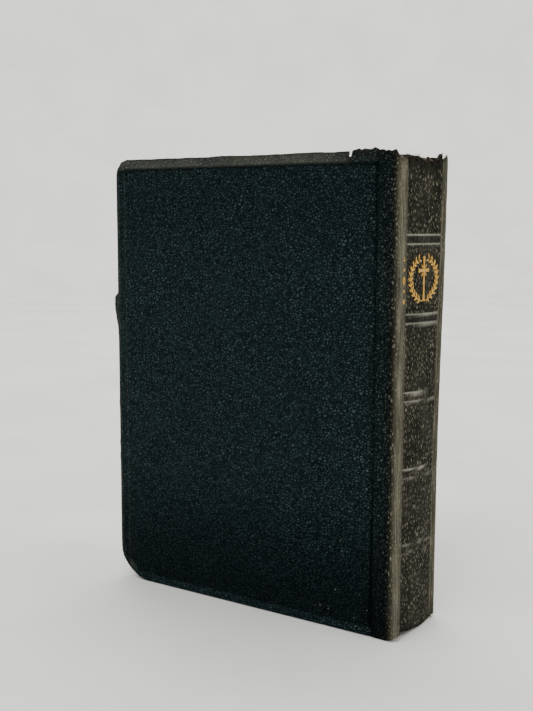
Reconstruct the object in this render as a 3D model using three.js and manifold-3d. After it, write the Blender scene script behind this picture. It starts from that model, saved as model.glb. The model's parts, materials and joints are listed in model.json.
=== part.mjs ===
// A thick, limp-bound leather bible, closed and standing on its tail edge.
// Millimetres, +Z up. The origin is under the middle of the book, on the surface it stands on.
// The spine faces -X, the front cover faces -Y and the back cover faces +Y.
import * as THREE from 'three';
import { mergeVertices } from 'three/addons/utils/BufferGeometryUtils.js';
import Module from 'manifold-3d';

const wasm = await Module();
wasm.setup();

// Driving dimensions.
const HEIGHT = 205;            // over the head and tail flaps of the covers
const WIDTH = 152;             // spine to fore-edge flap
const THICKNESS = 39;          // over both covers
const LEATHER = 0.9;
const BOARD = 1.2;             // thin card that stiffens a cover
const LEAF = 0.25;             // one stout leaf or endpaper
const SQUARE = 4.5;            // how far the flaps of a cover reach past the pages
const FLAP_REACH = 4;          // how far the flaps bend in over the pages
const JOINT = 12;              // hinge line of a cover, counted from the spine
const BULGE = 1.2;             // how far the middle of the spine stands out
const SHOULDER = 3;            // rounding of the spine's two long edges
const SPINE_FOOT = 1.5;        // worn ends of the spine leather, above the surface below
const SPINE_HEAD = 203;
const SECTIONS_PER_HALF = 10;
const PAGE_CORNER = 8;         // rounded corners of the pages
const HEAD_CORNER = 7;         // outer corners of a cover
const TAIL_CORNER = 15;
const CLEAR = 0.1;             // gap between layers that are glued together
const TAPE_COUNT = 3;
const TAPE_WIDTH = 10;

// Places that follow from them. "u" is a distance from the middle plane of the book, on either side.
const SIDES = { back: 1, front: -1 };
const spineX = -WIDTH / 2;
const foreX = WIDTH / 2 - SQUARE;
const footZ = SQUARE;
const headZ = HEIGHT - SQUARE;
const coverU = THICKNESS / 2;
const hingeX = spineX + JOINT;
const hingeGap = 0.3;          // half of the slit along the hinge line of a cover
const middleGap = 0.15;        // half of the slit along the middle of the spine
const boardU = coverU - LEATHER - CLEAR;
const pastedownU = boardU - BOARD - CLEAR;
const flyleafU = pastedownU - LEAF - CLEAR;
const blockU = flyleafU - LEAF - CLEAR;
const leafPitch = LEAF + CLEAR;

// Layers on the back of the folds, as depths under the outer face of the spine leather.
const cardDepth = 1.0;
const liningDepth = 1.75;
const mullDepth = 2.2;
const tapeDepth = 2.55;
const foldDepth = 3.1;
const foldX = spineX + foldDepth;
const pageWidth = foreX - foldX - 2.5;

// Materials.
function finish(name, color, roughness, metalness = 0) {
  return new THREE.MeshStandardMaterial({ name, color, roughness, metalness });
}
const coverLeather = finish('cover_leather', 0x121619, 0.55);
const card = finish('card', 0x8a7a5c, 0.9);
const endpaper = finish('endpaper', 0xcdbd98, 0.9);
const pagePaper = finish('page_paper', 0xe3d8bd, 0.9);
const kraft = finish('kraft_paper', 0x9a7748, 0.9);
const gauze = finish('gauze', 0xd8d0bb, 0.95);
const tapeCloth = finish('tape_cloth', 0xe6e0cf, 0.95);
const bandCloth = finish('band_cloth', 0xb9a98a, 0.85);

const bible = new THREE.Group();

function place(name, geometry, material) {
  const mesh = new THREE.Mesh(geometry, material);
  mesh.name = name;
  bible.add(mesh);
}

// A flat outline in plan, x against y, raised from z0 to z1.
function raised(outline, z0, z1) {
  const geometry = new THREE.ExtrudeGeometry(new THREE.Shape(outline), { depth: z1 - z0, bevelEnabled: false });
  return geometry.translate(0, 0, z0);
}

// A flat outline in elevation, x against z, given thickness from u0 to u1 on one side of the book.
function slab(outline, side, u0, u1) {
  const geometry = new THREE.ExtrudeGeometry(outline, { depth: u1 - u0, bevelEnabled: false, curveSegments: 8 });
  geometry.rotateX(Math.PI / 2);
  return geometry.translate(0, side > 0 ? u1 : -u0, 0);
}

// A rectangle from (x0, z0) to (x1, z1) with its two fore-edge corners rounded.
function leafOutline(x0, x1, z0, z1, headRadius, tailRadius = headRadius) {
  const outline = new THREE.Shape();
  outline.moveTo(x0, z0);
  outline.lineTo(x1 - tailRadius, z0);
  outline.absarc(x1 - tailRadius, z0 + tailRadius, tailRadius, -Math.PI / 2, 0, false);
  outline.lineTo(x1, z1 - headRadius);
  outline.absarc(x1 - headRadius, z1 - headRadius, headRadius, 0, Math.PI / 2, false);
  outline.lineTo(x0, z1);
  return outline;
}

function solid(geometry) {
  geometry.deleteAttribute('normal');
  geometry.deleteAttribute('uv');
  const merged = mergeVertices(geometry, 1e-4);
  const vertProperties = new Float32Array(merged.attributes.position.array);
  const triVerts = new Uint32Array(merged.index.array);
  return new wasm.Manifold(new wasm.Mesh({ numProp: 3, vertProperties, triVerts }));
}

function joined(...geometries) {
  const whole = geometries.map(solid).reduce((sum, next) => sum.add(next)).getMesh();
  const geometry = new THREE.BufferGeometry();
  geometry.setAttribute('position', new THREE.BufferAttribute(whole.vertProperties, 3));
  geometry.setIndex(new THREE.BufferAttribute(whole.triVerts, 1));
  return geometry;
}

// The closed outline between a curve and its parallel, which lies to the curve's left.
function band(curve, thickness, steps) {
  const outer = [];
  const inner = [];
  for (let i = 0; i <= steps; i++) {
    const point = curve.getPoint(i / steps);
    const along = curve.getTangent(i / steps);
    outer.push(point);
    inner.push(new THREE.Vector2(point.x - along.y * thickness, point.y + along.x * thickness));
  }
  return [...outer, ...inner.reverse()];
}

// The line in elevation that the flaps hang from: along the head, down the fore edge and round the tail corner.
class FlapLine extends THREE.Curve {
  constructor(y) {
    super();
    const headRadius = HEAD_CORNER - SQUARE;
    const tailRadius = TAIL_CORNER - SQUARE;
    this.y = y;
    this.path = new THREE.Path();
    this.path.moveTo(hingeX + hingeGap, headZ);
    this.path.lineTo(foreX - headRadius, headZ);
    this.path.absarc(foreX - headRadius, headZ - headRadius, headRadius, Math.PI / 2, 0, true);
    this.path.lineTo(foreX, footZ + tailRadius);
    this.path.absarc(foreX - tailRadius, footZ + tailRadius, tailRadius, 0, -Math.PI / 2, true);
  }

  getPoint(t, target = new THREE.Vector3()) {
    const point = this.path.getPoint(t);
    return target.set(point.x, this.y, point.y);
  }
}

// The flap of a cover at the head and fore edge: leather that curls in over the pages.
function curledFlap(side) {
  const curl = new THREE.QuadraticBezierCurve(
    new THREE.Vector2(0.6, 0),
    new THREE.Vector2(-SQUARE, -0.1 * side),
    new THREE.Vector2(-SQUARE, -FLAP_REACH * side),
  );
  const section = new THREE.Shape(band(curl, side * LEATHER, 4));
  const line = new FlapLine(side * coverU);
  return new THREE.ExtrudeGeometry(section, { extrudePath: line, steps: 80, bevelEnabled: false });
}

// The tail flap is folded flat under the pages, and the book stands on it.
function foldedFlap(side) {
  const x0 = hingeX + hingeGap;
  const x1 = WIDTH / 2 - TAIL_CORNER;
  const outline = [
    [coverU, 0],
    [coverU, footZ + 0.6],
    [coverU - LEATHER, footZ + 0.6],
    [coverU - LEATHER, LEATHER],
    [coverU - FLAP_REACH - 1, LEATHER],
    [coverU - FLAP_REACH - 1, 0],
  ].map(([u, z]) => new THREE.Vector2(side * u, z));
  // Turns the outline's x into y and its y into z, and the depth into x.
  const turned = new THREE.Matrix4().set(0, 0, 1, x0, 1, 0, 0, 0, 0, 1, 0, 0, 0, 0, 0, 1);
  return raised(outline, 0, x1 - x0).applyMatrix4(turned);
}

function coverSkin(side) {
  const panel = leafOutline(
    hingeX + hingeGap, foreX, footZ, headZ, HEAD_CORNER - SQUARE, TAIL_CORNER - SQUARE,
  );
  return joined(slab(panel, side, coverU - LEATHER, coverU), curledFlap(side), foldedFlap(side));
}

// One cover, with the free endpaper that lies against the pages.
function cover(name, side) {
  const x0 = hingeX + hingeGap;
  place(`${name}_cover_leather`, coverSkin(side), coverLeather);
  const board = leafOutline(x0, foreX - 0.5, footZ + 0.5, headZ - 0.5, PAGE_CORNER, TAIL_CORNER - SQUARE);
  place(`${name}_board`, slab(board, side, boardU - BOARD, boardU), card);
  const pasted = leafOutline(x0, foreX - 2.5, footZ + 2.5, headZ - 2.5, PAGE_CORNER);
  place(`${name}_pastedown`, slab(pasted, side, pastedownU - LEAF, pastedownU), endpaper);
  const free = leafOutline(x0, foldX + pageWidth, footZ, headZ, PAGE_CORNER);
  place(`${name}_flyleaf`, slab(free, side, flyleafU - LEAF, flyleafU), endpaper);
}

// How far the rounded spine has fallen back from its middle line at a distance u from it.
function fallBack(u) {
  return BULGE * (u / (coverU - SHOULDER)) ** 2;
}

// Points along the rounded spine from u0 to u1, at one depth under its outer face.
function spineLine(side, depth, u0, u1) {
  const steps = 8;
  const points = [];
  for (let i = 0; i <= steps; i++) {
    const u = u0 + ((u1 - u0) * i) / steps;
    points.push(new THREE.Vector2(spineX + depth + fallBack(u), side * u));
  }
  return points;
}

function spineStrip(side, depth, thickness, u1, z0, z1) {
  const outer = spineLine(side, depth, middleGap, u1);
  const inner = spineLine(side, depth + thickness, middleGap, u1);
  return raised([...outer, ...inner.reverse()], z0, z1);
}

// The leather over one half of the spine: it rounds the shoulder and runs on to the hinge line of the cover.
function spineLeather(side) {
  const shoulderX = spineX + fallBack(coverU - SHOULDER);
  const line = [
    ...spineLine(side, 0, middleGap, coverU - SHOULDER - 0.5),
    ...[15, 40, 65, 85].map((degrees) => {
      const angle = THREE.MathUtils.degToRad(degrees);
      const x = shoulderX + SHOULDER * (1 - Math.cos(angle));
      return new THREE.Vector2(x, side * (coverU - 0.2 - SHOULDER * (1 - Math.sin(angle))));
    }),
    new THREE.Vector2(hingeX - 4, side * (coverU - 0.3)),
    new THREE.Vector2(hingeX - hingeGap, side * (coverU - 0.1)),
  ];
  const skin = band(new THREE.SplineCurve(line), -side * LEATHER, 40);
  return raised(skin, SPINE_FOOT, SPINE_HEAD);
}

// Gauze over the folds, with a wing that laps onto the side of the pages.
function mull(side) {
  const cloth = 0.2;
  const wingU = blockU + CLEAR;
  const wingX = hingeX - hingeGap;
  const outer = spineLine(side, mullDepth, middleGap, wingU + cloth);
  const inner = spineLine(side, mullDepth + cloth, middleGap, wingU);
  const wing = [[wingX, wingU + cloth], [wingX, wingU]].map(([x, u]) => new THREE.Vector2(x, side * u));
  return raised([...outer, ...wing, ...inner.reverse()], footZ + 8, headZ - 8);
}

// A headband or tailband: a cord core at the end of the folds, across one half of the spine.
function endBand(side, z) {
  const radius = 1.1;
  const length = blockU - 1;
  const roll = new THREE.CylinderGeometry(radius, radius, length, 12);
  return roll.translate(foldX + radius, side * (middleGap + length / 2), z);
}

// One half of the spine: everything that is glued across the folds, split along the middle of the book.
function spineHalf(name, side) {
  place(`spine_leather_${name}`, spineLeather(side), coverLeather);
  place(`spine_card_${name}`, spineStrip(side, cardDepth, 0.6, blockU - 1.5, footZ, headZ), card);
  place(`spine_lining_${name}`, spineStrip(side, liningDepth, 0.3, blockU - 0.5, footZ + 2, headZ - 4), kraft);
  place(`mull_${name}`, mull(side), gauze);
  for (let i = 1; i <= TAPE_COUNT; i++) {
    const z = footZ + ((headZ - footZ) * i) / (TAPE_COUNT + 1);
    const tape = spineStrip(side, tapeDepth, 0.4, blockU - 0.3, z - TAPE_WIDTH / 2, z + TAPE_WIDTH / 2);
    place(`sewing_tape_${i}_${name}`, tape, tapeCloth);
  }
  place(`headband_${name}`, endBand(side, headZ + 1.3), bandCloth);
  place(`tailband_${name}`, endBand(side, footZ - 1.3), bandCloth);
  const fold = leafOutline(foldX + 1.6, hingeX - hingeGap, footZ, headZ, 0.5);
  place(`endpaper_fold_${name}`, slab(fold, side, blockU + 0.4, blockU + 0.4 + LEAF), endpaper);
}

// Three loose leaves stand where the book opens, at its middle.
function centreLeaf(number) {
  const y = (number - 2) * leafPitch;
  const outline = leafOutline(foldX, foldX + pageWidth, footZ, headZ, PAGE_CORNER);
  place(`centre_leaf_${number}`, slab(outline, 1, y - LEAF / 2, y + LEAF / 2), pagePaper);
}

// The folded sections of pages, numbered out from the middle. Each sits back, as the round of the spine asks.
function section(name, side, number) {
  const firstU = 1.5 * leafPitch;
  const pitch = (blockU - firstU) / SECTIONS_PER_HALF;
  const u0 = firstU + pitch * (number - 1);
  const u1 = u0 + pitch - CLEAR;
  const x0 = foldX + fallBack(u1);
  const outline = leafOutline(x0, x0 + pageWidth, footZ, headZ, PAGE_CORNER);
  place(`section_${name}_${String(number).padStart(2, '0')}`, slab(outline, side, u0, u1), pagePaper);
}

for (const [name, side] of Object.entries(SIDES)) {
  cover(name, side);
  spineHalf(name, side);
  for (let number = 1; number <= SECTIONS_PER_HALF; number++) section(name, side, number);
}
for (let number = 1; number <= 3; number++) centreLeaf(number);

export default bible;
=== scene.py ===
import json
import math

import bmesh
import bpy
import numpy as np
from mathutils import Matrix, Vector, noise


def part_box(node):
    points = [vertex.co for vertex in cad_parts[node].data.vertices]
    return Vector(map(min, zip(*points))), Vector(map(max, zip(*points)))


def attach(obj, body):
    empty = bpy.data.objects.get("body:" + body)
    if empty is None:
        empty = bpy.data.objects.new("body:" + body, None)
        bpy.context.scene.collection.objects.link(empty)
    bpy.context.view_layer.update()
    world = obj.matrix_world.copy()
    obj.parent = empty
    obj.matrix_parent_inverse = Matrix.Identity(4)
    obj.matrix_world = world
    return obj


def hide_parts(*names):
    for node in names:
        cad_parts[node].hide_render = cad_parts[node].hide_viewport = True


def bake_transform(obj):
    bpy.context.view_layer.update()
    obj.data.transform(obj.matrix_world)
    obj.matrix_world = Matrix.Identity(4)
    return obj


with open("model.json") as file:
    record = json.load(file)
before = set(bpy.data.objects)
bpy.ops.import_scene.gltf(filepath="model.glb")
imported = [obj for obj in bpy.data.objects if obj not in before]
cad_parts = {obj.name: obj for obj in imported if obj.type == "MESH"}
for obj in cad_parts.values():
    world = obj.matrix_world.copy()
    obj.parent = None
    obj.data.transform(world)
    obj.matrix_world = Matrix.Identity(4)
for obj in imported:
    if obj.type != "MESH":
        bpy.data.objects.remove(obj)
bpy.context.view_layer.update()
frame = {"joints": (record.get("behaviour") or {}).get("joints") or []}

# Lengths in this script are in millimetres until a mesh is made.
MM = 0.001


def node_box(node):
    return [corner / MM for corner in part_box(node)]


def joint_place(name):
    joint = next(j for j in frame["joints"] if j["name"] == name)
    return Vector(joint["pos_m"]) / MM


# Places taken from the frame. "u" is the distance from the book's middle plane, y = side * u.
SIDES = {"back": 1, "front": -1}
COVER_U = node_box("back_cover_leather")[1].y
TOP_Z = node_box("back_cover_leather")[1].z
FORE_X = node_box("back_board")[1].x + 0.5
HEAD_Z = node_box("section_back_01")[1].z
FOOT_Z = node_box("section_back_01")[0].z
SPINE_X = node_box("spine_leather_back")[0].x
HINGE_X = joint_place("back_cover_opening").x
SQUARE = TOP_Z - HEAD_Z
HEAD_CORNER = 2.5
TAIL_CORNER = 10.5
BOOK_MIDDLE_Z = (HEAD_Z + FOOT_Z) / 2
BEND = 2.8            # length of leather beside a hinge line, given finer columns where the leather would bend with the cover
SPINE_BEND = 1.2      # half of the width at the middle of the spine given finer steps, where the leather would bend
TOOLED_Z = [FOOT_Z + 34.7 + 32.5 * i for i in range(5)]
TOOLED_HALF = 1.9     # half of the distance between the two lines of a pair
SECTIONS = 10         # sections of pages in each half


def smooth(t):
    t = np.clip(t, 0.0, 1.0)
    return t * t * (3 - 2 * t)


def window(value, low, high, soft):
    """1 between low and high, falling to 0 over a soft distance outside them."""
    return smooth((value - low) / soft + 1) * smooth((high - value) / soft + 1)


def bell(value, centre, width):
    return np.exp(-(((value - centre) / width) ** 2))


def ripple(values, scale, seed):
    """Smooth noise from -1 to 1 along a row of values."""
    return np.array([noise.noise(Vector((v / scale, seed * 7.31, 0.5))) for v in np.ravel(values)])


def field(xs, zs, scale, seed):
    """Smooth noise from -1 to 1 over points given by two equal arrays."""
    pairs = zip(np.ravel(xs), np.ravel(zs))
    flat = [noise.noise(Vector((x / scale, z / scale, seed * 5.17))) for x, z in pairs]
    return np.array(flat).reshape(np.shape(xs))


# ---------------------------------------------------------------- materials

class Graph:
    """A short way to write a node material."""

    def __init__(self, name):
        self.material = bpy.data.materials.new(name)
        self.material.use_nodes = True
        self.nodes = self.material.node_tree.nodes
        self.links = self.material.node_tree.links
        self.shader = self.nodes["Principled BSDF"]

    def node(self, kind, inputs=None, **settings):
        made = self.nodes.new(kind)
        for key, value in settings.items():
            setattr(made, key, value)
        for key, value in (inputs or {}).items():
            self.put(made.inputs[key], value)
        return made

    def put(self, socket, value):
        if isinstance(value, bpy.types.NodeSocket):
            self.links.new(value, socket)
        else:
            socket.default_value = value

    def math(self, operation, a, b=0.0, clamp=False):
        return self.node("ShaderNodeMath", {0: a, 1: b}, operation=operation, use_clamp=clamp).outputs[0]

    def times(self, a, b):
        return self.math("MULTIPLY", a, b)

    def step(self, value, low, high, start=0.0, end=1.0):
        inputs = {"Value": value, "From Min": low, "From Max": high, "To Min": start, "To Max": end}
        return self.node("ShaderNodeMapRange", inputs, interpolation_type="SMOOTHSTEP").outputs[0]

    def mix(self, factor, a, b):
        made = self.node("ShaderNodeMix", data_type="RGBA")
        self.put(made.inputs[0], factor)
        self.put(made.inputs[6], a if isinstance(a, bpy.types.NodeSocket) else (*a, 1.0))
        self.put(made.inputs[7], b if isinstance(b, bpy.types.NodeSocket) else (*b, 1.0))
        return made.outputs[2]

    def blend_value(self, factor, a, b):
        made = self.node("ShaderNodeMix", data_type="FLOAT")
        self.put(made.inputs[0], factor)
        self.put(made.inputs[2], a)
        self.put(made.inputs[3], b)
        return made.outputs[0]

    def vertex(self, name):
        return self.node("ShaderNodeAttribute", attribute_name=name, attribute_type="GEOMETRY").outputs["Fac"]

    def sheet(self, *scale):
        """Coordinates on the flattened sheet, in millimetres times a scale for each direction."""
        flat = self.node("ShaderNodeUVMap", uv_map="sheet").outputs[0]
        factor = [100.0 * s for s in scale]
        return self.node("ShaderNodeMapping", {"Vector": flat, "Scale": (*factor, 1.0)}).outputs[0]

    def noise(self, place, scale=1.0, detail=3.0, roughness=0.5):
        inputs = {"Vector": place, "Scale": scale, "Detail": detail, "Roughness": roughness}
        return self.node("ShaderNodeTexNoise", inputs).outputs[0]

    def cells(self, place, feature="DISTANCE_TO_EDGE", scale=1.0):
        return self.node("ShaderNodeTexVoronoi", {"Vector": place, "Scale": scale}, feature=feature)

    def bump(self, height, distance, normal=None):
        inputs = {"Height": height, "Distance": distance, "Strength": 1.0}
        if normal is not None:
            inputs["Normal"] = normal
        return self.node("ShaderNodeBump", inputs).outputs[0]

    def finish(self, **sockets):
        for name, value in sockets.items():
            self.put(self.shader.inputs[name.replace("_", " ")], value)
        return self.material


def leather_material():
    g = Graph("worn_black_leather")
    wear, spine, line = g.vertex("wear"), g.vertex("spine"), g.vertex("line")
    scuff, torn, specks = g.vertex("scuff"), g.vertex("torn"), g.vertex("specks")
    shade = g.vertex("shade")

    # Pebbles: rounder on the covers, drawn out along the spine.
    wander = g.noise(g.sheet(0.5, 0.5), detail=2.0)
    push = g.node("ShaderNodeCombineXYZ", {"X": g.times(wander, 1.3), "Y": g.times(wander, -1.1)}).outputs[0]
    wandered = g.node("ShaderNodeVectorMath", {0: g.sheet(1.0, 1.0), 1: push}, operation="ADD").outputs[0]
    round_place = g.node("ShaderNodeMapping", {"Vector": wandered, "Scale": (0.74, 0.9, 1.0)}).outputs[0]
    long_place = g.node("ShaderNodeMapping", {"Vector": wandered, "Scale": (0.86, 0.46, 1.0)}).outputs[0]
    round_cells = g.cells(round_place).outputs["Distance"]
    long_cells = g.cells(long_place).outputs["Distance"]
    edge = g.blend_value(spine, round_cells, long_cells)
    pebble = g.step(edge, 0.05, 0.36)
    fine = g.noise(g.sheet(2.6, 2.6), detail=2.0)
    pattern = g.noise(g.sheet(0.11, 0.08), detail=3.0)

    # Places that are rubbed or pressed flat lose the grain.
    flat = g.math("MAXIMUM", g.times(wear, 0.93), g.vertex("pressed"), clamp=True)
    grain = g.math("SUBTRACT", 1.0, flat, clamp=True)
    streaks = g.noise(g.sheet(2.4, 0.07), detail=4.0, roughness=0.6)
    spots = g.noise(g.sheet(0.9, 0.7), detail=3.0, roughness=0.65)

    # Painted highlight and shade on the grain: pebble tops are coloured light and the gaps near black, and
    # painted glints add bright points on scattered pebbles, on the covers and on the spine.
    cell_shade = g.noise(g.sheet(0.45, 0.35), detail=2.0)
    tip = g.times(pebble, g.step(cell_shade, 0.30, 0.62, 0.82, 1.0))
    tip = g.math("POWER", tip, 1.3)
    glint = g.times(g.step(fine, 0.56, 0.68), g.step(edge, 0.10, 0.25))
    cover_tone = g.mix(tip, (0.0042, 0.0082, 0.0092), (0.043, 0.070, 0.073))
    cover_tone = g.mix(g.times(glint, 0.42), cover_tone, (0.11, 0.18, 0.18))
    cover_tone = g.mix(g.step(pattern, 0.35, 0.75, 0.0, 0.18), cover_tone, (0.012, 0.026, 0.029))
    spine_tip = g.math("POWER", tip, 1.8)
    spine_tone = g.mix(spine_tip, (0.0006, 0.0006, 0.0003), (0.185, 0.178, 0.125))
    spine_tone = g.mix(g.times(glint, 0.20), spine_tone, (0.34, 0.33, 0.25))
    tone = g.mix(spine, cover_tone, spine_tone)
    # The shade field darkens the leather to near black: painted shade in creases, grooves and the torn notch
    # and towards the foot and the head, with darker tooled bands and darker patches at the torn ends of the
    # spine.
    tone = g.mix(shade, tone, (0.0012, 0.0018, 0.0022))
    rubbed = g.mix(g.step(streaks, 0.3, 0.72), (0.060, 0.057, 0.041), (0.23, 0.22, 0.16))
    rubbed = g.mix(g.step(spots, 0.52, 0.74, 0.0, 0.6), rubbed, (0.035, 0.032, 0.020))
    tone = g.mix(g.times(wear, g.step(spots, 0.2, 0.55, 0.72, 1.0)), tone, rubbed)
    smudge = g.times(scuff, g.times(g.step(spots, 0.38, 0.66), g.step(pebble, 0.2, 0.9)))
    tone = g.mix(smudge, tone, (0.10, 0.13, 0.14))
    tone = g.mix(g.times(line, g.step(streaks, 0.2, 0.6, 0.45, 1.0)), tone, (0.36, 0.35, 0.29))
    fibre = g.mix(g.step(g.noise(g.sheet(3.0, 0.8), detail=4.0), 0.45, 0.75), (0.004, 0.0032, 0.002),
                  (0.075, 0.053, 0.026))
    tone = g.mix(torn, tone, fibre)

    # Pale grit that has stuck to the leather.
    grit = g.cells(g.sheet(0.30, 0.30), feature="F1")
    chosen = g.node("ShaderNodeSeparateColor", {0: grit.outputs["Color"]}).outputs[0]
    dot = g.times(g.step(grit.outputs["Distance"], 0.085, 0.05), g.step(chosen, 0.42, 0.46))
    dot = g.times(dot, g.step(specks, 0.15, 0.5))
    tone = g.mix(dot, tone, (0.42, 0.39, 0.30))

    rough = g.blend_value(tip, 0.62, 0.36)
    rough = g.blend_value(g.times(wear, 0.9), rough, 0.46)
    rough = g.blend_value(torn, rough, 0.9)
    rough = g.blend_value(dot, rough, 0.85)
    low = g.bump(g.times(pebble, grain), 0.7 * MM)
    mid = g.bump(g.times(fine, g.math("ADD", grain, 0.25)), 0.12 * MM, normal=low)
    top = g.bump(g.times(streaks, g.math("ADD", wear, g.times(torn, 2.0))),
                 0.16 * MM, normal=mid)
    g.shader.inputs["Specular IOR Level"].default_value = 0.03
    g.put(g.shader.inputs["Specular Tint"], g.mix(spine, (0.35, 0.85, 1.0), (1.0, 0.95, 0.75)))
    return g.finish(Base_Color=tone, Roughness=rough, Normal=top)


def gold_material():
    g = Graph("worn_gold_tooling")
    rub = g.noise(g.sheet(0.9, 0.55), detail=5.0, roughness=0.7)
    worn = g.times(g.step(rub, 0.50, 0.60), g.step(g.vertex("wear"), 0.0, 1.0, 0.30, 1.0))
    crumbs = g.noise(g.sheet(5.0, 5.0), detail=2.0)
    bright = g.mix(g.step(crumbs, 0.35, 0.7), (0.40, 0.20, 0.020), (0.86, 0.50, 0.055))
    tone = g.mix(worn, bright, (0.05, 0.040, 0.026))
    metal = g.blend_value(worn, 0.55, 0.0)
    rough = g.blend_value(worn, 0.42, 0.6)
    normal = g.bump(crumbs, 0.05 * MM)
    return g.finish(Base_Color=tone, Metallic=metal, Roughness=rough, Normal=normal)


def fibre_material():
    g = Graph("frayed_fibre")
    place = g.node("ShaderNodeTexCoord").outputs["Object"]
    vary = g.noise(place, scale=900.0, detail=2.0)
    tone = g.mix(g.step(vary, 0.35, 0.68), (0.008, 0.006, 0.004), (0.070, 0.048, 0.025))
    return g.finish(Base_Color=tone, Roughness=0.9)


def paper_material(name, pale, aged, spotted, strength):
    """Aged paper: darker near the edges that take the air, with faint blotches and fibres."""
    g = Graph(name)
    place = g.sheet(1.0, 1.0)
    blotch = g.noise(place, scale=0.035, detail=4.0, roughness=0.6)
    fibres = g.noise(g.sheet(1.4, 5.0), detail=4.0, roughness=0.6)
    spots = g.cells(place, feature="F1", scale=0.06).outputs["Distance"]
    tone = g.mix(g.step(blotch, 0.3, 0.75), pale, aged)
    tone = g.mix(g.times(g.vertex("edge"), 0.85), tone, spotted)
    tone = g.mix(g.step(spots, 0.10, 0.03, 0.0, strength), tone, spotted)
    tone = g.mix(g.times(g.vertex("shade"), 0.5), tone, tuple(0.45 * c for c in aged))
    tone = g.mix(g.step(fibres, 0.45, 0.75, 0.0, 0.18), tone, spotted)
    normal = g.bump(fibres, 0.03 * MM)
    g.shader.inputs["Specular IOR Level"].default_value = 0.25
    return g.finish(Base_Color=tone, Roughness=0.88, Normal=normal)


def cloth_material(name, light, dark, pitch):
    """Plain weave with threads one pitch apart."""
    g = Graph(name)
    split = g.node("ShaderNodeSeparateXYZ", {0: g.sheet(1.0, 1.0)})
    turn = 2 * math.pi / pitch
    warp = g.math("SINE", g.times(split.outputs[0], turn))
    weft = g.math("SINE", g.times(split.outputs[1], turn))
    weave = g.times(warp, weft)
    vary = g.noise(g.sheet(0.4, 0.4), detail=3.0)
    tone = g.mix(g.step(weave, -0.8, 0.8), dark, light)
    tone = g.mix(g.step(vary, 0.4, 0.7, 0.0, 0.4), tone, dark)
    return g.finish(Base_Color=tone, Roughness=0.92, Normal=g.bump(weave, 0.08 * MM))


def floor_material():
    g = Graph("pale_floor")
    place = g.node("ShaderNodeTexCoord").outputs["Object"]
    vary = g.noise(place, scale=9.0, detail=4.0)
    tone = g.mix(g.step(vary, 0.3, 0.7), (0.70, 0.69, 0.665), (0.76, 0.755, 0.735))
    return g.finish(Base_Color=tone, Roughness=0.75)


LEATHER = leather_material()
GOLD = gold_material()
FIBRE = fibre_material()
PAGE = paper_material("aged_page_paper", (0.62, 0.54, 0.38), (0.55, 0.45, 0.29), (0.36, 0.24, 0.12), 0.25)
ENDPAPER = paper_material("aged_endpaper", (0.56, 0.47, 0.31), (0.47, 0.37, 0.22), (0.27, 0.17, 0.08), 0.55)
CARD = paper_material("grey_brown_card", (0.26, 0.20, 0.13), (0.20, 0.15, 0.09), (0.12, 0.08, 0.045), 0.3)
KRAFT = paper_material("kraft_lining", (0.33, 0.215, 0.11), (0.27, 0.17, 0.085), (0.15, 0.09, 0.04), 0.3)
GAUZE = cloth_material("starched_gauze", (0.60, 0.54, 0.42), (0.30, 0.25, 0.17), 1.1)
TAPE = cloth_material("linen_tape", (0.66, 0.61, 0.50), (0.42, 0.37, 0.28), 0.6)
BAND = cloth_material("worked_band", (0.13, 0.11, 0.08), (0.045, 0.036, 0.025), 0.7)


# ---------------------------------------------------------------- mesh making

def make_piece(name, points, faces, material, sheet, fields, weld=True):
    """A closed mesh from points in millimetres, with its flattened coordinates and vertex fields."""
    mesh = bpy.data.meshes.new(name)
    mesh.from_pydata((np.asarray(points, float) * MM).tolist(), [], faces)
    corner_vertex = np.zeros(len(mesh.loops), int)
    mesh.loops.foreach_get("vertex_index", corner_vertex)
    layer = mesh.uv_layers.new(name="sheet")
    flat = np.asarray(sheet, float)[corner_vertex] / 100.0
    layer.data.foreach_set("uv", flat.ravel())
    for key, values in fields.items():
        attribute = mesh.attributes.new(key, "FLOAT", "POINT")
        attribute.data.foreach_set("value", np.asarray(values, np.float32))
    work = bmesh.new()
    work.from_mesh(mesh)
    if weld:
        bmesh.ops.remove_doubles(work, verts=work.verts, dist=2e-6)
        bmesh.ops.dissolve_degenerate(work, edges=work.edges, dist=1e-7)
    bmesh.ops.recalc_face_normals(work, faces=work.faces)
    work.to_mesh(mesh)
    work.free()
    for polygon in mesh.polygons:
        polygon.use_smooth = True
    mesh.materials.append(material)
    piece = bpy.data.objects.new(name, mesh)
    bpy.context.scene.collection.objects.link(piece)
    return piece


def sharpen(piece, degrees):
    """Edges sharper than an angle keep a hard shading line."""
    piece.data.set_sharp_from_angle(angle=math.radians(degrees))


class Builder:
    """Collects the points and faces of a piece that is made of many closed parts."""

    def __init__(self):
        self.points, self.faces, self.sheet, self.fields = [], [], [], {}

    def add(self, points, faces, sheet, **fields):
        start = len(self.points)
        self.points.extend(points)
        self.faces.extend([tuple(start + i for i in face) for face in faces])
        self.sheet.extend(sheet)
        for key, values in fields.items():
            values = np.broadcast_to(values, (len(points),))
            self.fields.setdefault(key, []).extend(values)

    def piece(self, name, material, slot):
        return make_piece(name, self.points, self.faces, material, self.sheet, self.fields, weld=False)


def grid_faces(index):
    """Quads over a two-dimensional array of vertex numbers."""
    a, b, c, d = index[:-1, :-1], index[1:, :-1], index[1:, 1:], index[:-1, 1:]
    return np.stack([a, b, c, d], axis=-1).reshape(-1, 4).tolist()


def tube_faces(rings, sides):
    """Faces of a tube with closed ends, over points listed ring by ring."""
    index = np.arange(rings * sides).reshape(rings, sides)
    faces = grid_faces(np.concatenate([index, index[:, :1]], 1))
    return faces + [index[0][::-1].tolist(), index[-1].tolist()]


# ---------------------------------------------------------------- covers

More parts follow.
